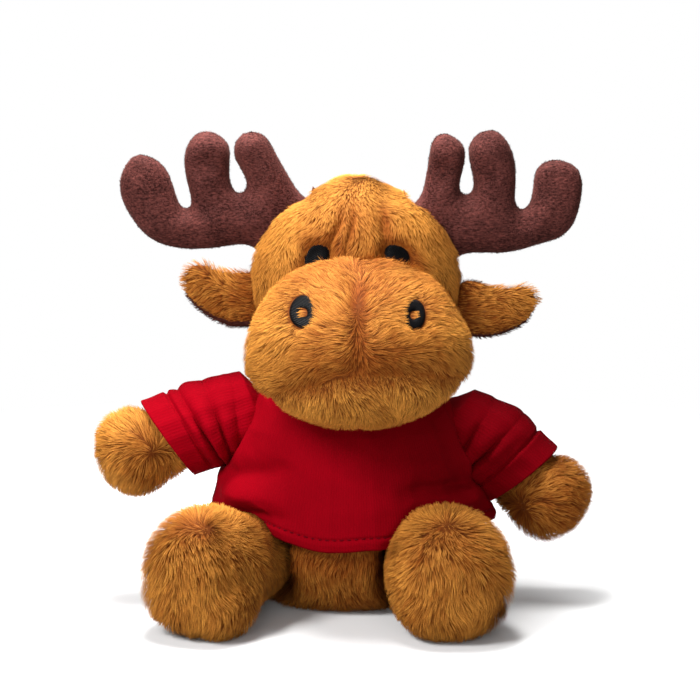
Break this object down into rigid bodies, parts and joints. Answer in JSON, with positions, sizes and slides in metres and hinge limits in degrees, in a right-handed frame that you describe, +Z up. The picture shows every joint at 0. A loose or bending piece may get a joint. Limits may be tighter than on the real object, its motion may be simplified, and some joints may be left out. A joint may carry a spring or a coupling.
{
  "type": "plush moose",
  "caption": "Seated stuffed plush moose with a big rounded muzzle, padded antlers and folded-out ears, wearing a plain short-sleeved jersey T-shirt.",
  "frame": {"origin": "on the surface that the toy sits on, under the middle of its seat", "axes": "+Z up, -Y the way the toy faces, +X towards the toy's own left"},
  "size_m": [0.1877, 0.1165, 0.1784],
  "materials": {
    "caramel_plush": "long soft pile",
    "dark_plush": "short soft pile",
    "antler_velboa": "short nap",
    "red_jersey": "matt knit",
    "black_thread": "satin stitch",
    "polyester_fibre": "loose fibre"
  },
  "bodies": {
    "torso": {"body_skin": "caramel_plush", "body_filling": "polyester_fibre", "shirt_front": "red_jersey", "shirt_back": "red_jersey", "shirt_neckband": "red_jersey"},
    "head": {"head_skin": "caramel_plush", "head_filling": "polyester_fibre", "muzzle_skin": "caramel_plush", "chin_panel": "caramel_plush", "muzzle_filling": "polyester_fibre", "eye_left": "black_thread", "eye_right": "black_thread", "nostril_left": "black_thread", "nostril_right": "black_thread"},
    "antler_left": {"antler_left_skin": "antler_velboa", "antler_left_filling": "polyester_fibre"},
    "ear_left": {"ear_left_outer": "caramel_plush", "ear_left_lining": "dark_plush"},
    "arm_left": {"arm_left_skin": "caramel_plush", "arm_left_filling": "polyester_fibre", "sleeve_left": "red_jersey"},
    "leg_left": {"leg_left_skin": "caramel_plush", "leg_left_filling": "polyester_fibre", "sole_left": "caramel_plush"},
    "antler_right": {"antler_right_skin": "antler_velboa", "antler_right_filling": "polyester_fibre"},
    "ear_right": {"ear_right_outer": "caramel_plush", "ear_right_lining": "dark_plush"},
    "arm_right": {"arm_right_skin": "caramel_plush", "arm_right_filling": "polyester_fibre", "sleeve_right": "red_jersey"},
    "leg_right": {"leg_right_skin": "caramel_plush", "leg_right_filling": "polyester_fibre", "sole_right": "caramel_plush"}
  },
  "joints": [
    {"name": "neck", "type": "hinge", "parent": "torso", "child": "head", "pos_m": [-0.001, -0.003, 0.0895], "axis": [0, 0, 1], "range_deg": [-15, 15], "stiffness_Nm_per_rad": 0.05},
    {"name": "shoulder_left", "type": "hinge", "parent": "torso", "child": "arm_left", "pos_m": [0.042, 0, 0.0637], "axis": [0, -1, 0], "range_deg": [-10, 20], "stiffness_Nm_per_rad": 0.05},
    {"name": "shoulder_right", "type": "hinge", "parent": "torso", "child": "arm_right", "pos_m": [-0.0445, 0, 0.0698], "axis": [0, 1, 0], "range_deg": [-10, 20], "stiffness_Nm_per_rad": 0.05},
    {"name": "hip_left", "type": "hinge", "parent": "torso", "child": "leg_left", "pos_m": [0.028, -0.02, 0.0195], "axis": [-0.9877, -0.1564, 0], "range_deg": [-30, 6], "stiffness_Nm_per_rad": 0.1},
    {"name": "hip_right", "type": "hinge", "parent": "torso", "child": "leg_right", "pos_m": [-0.038, -0.02, 0.0195], "axis": [-0.9063, 0.4226, 0], "range_deg": [-30, 6], "stiffness_Nm_per_rad": 0.1},
    {"name": "antler_left_root", "type": "hinge", "parent": "head", "child": "antler_left", "pos_m": [0.03165, 0.008, 0.14011], "axis": [0.6107, 0, -0.7919], "range_deg": [-12, 12], "stiffness_Nm_per_rad": 0.03},
    {"name": "antler_right_root", "type": "hinge", "parent": "head", "child": "antler_right", "pos_m": [-0.02936, 0.008, 0.14209], "axis": [-0.6601, 0, -0.7512], "range_deg": [-12, 12], "stiffness_Nm_per_rad": 0.03},
    {"name": "ear_left_root", "type": "hinge", "parent": "head", "child": "ear_left", "pos_m": [0.04072, 0, 0.11199], "axis": [-0.2419, 0, -0.9703], "range_deg": [-20, 20], "stiffness_Nm_per_rad": 0.008},
    {"name": "ear_right_root", "type": "hinge", "parent": "head", "child": "ear_right", "pos_m": [-0.03754, 0, 0.11432], "axis": [-0.0349, 0, -0.9994], "range_deg": [-20, 20], "stiffness_Nm_per_rad": 0.008}
  ]
}
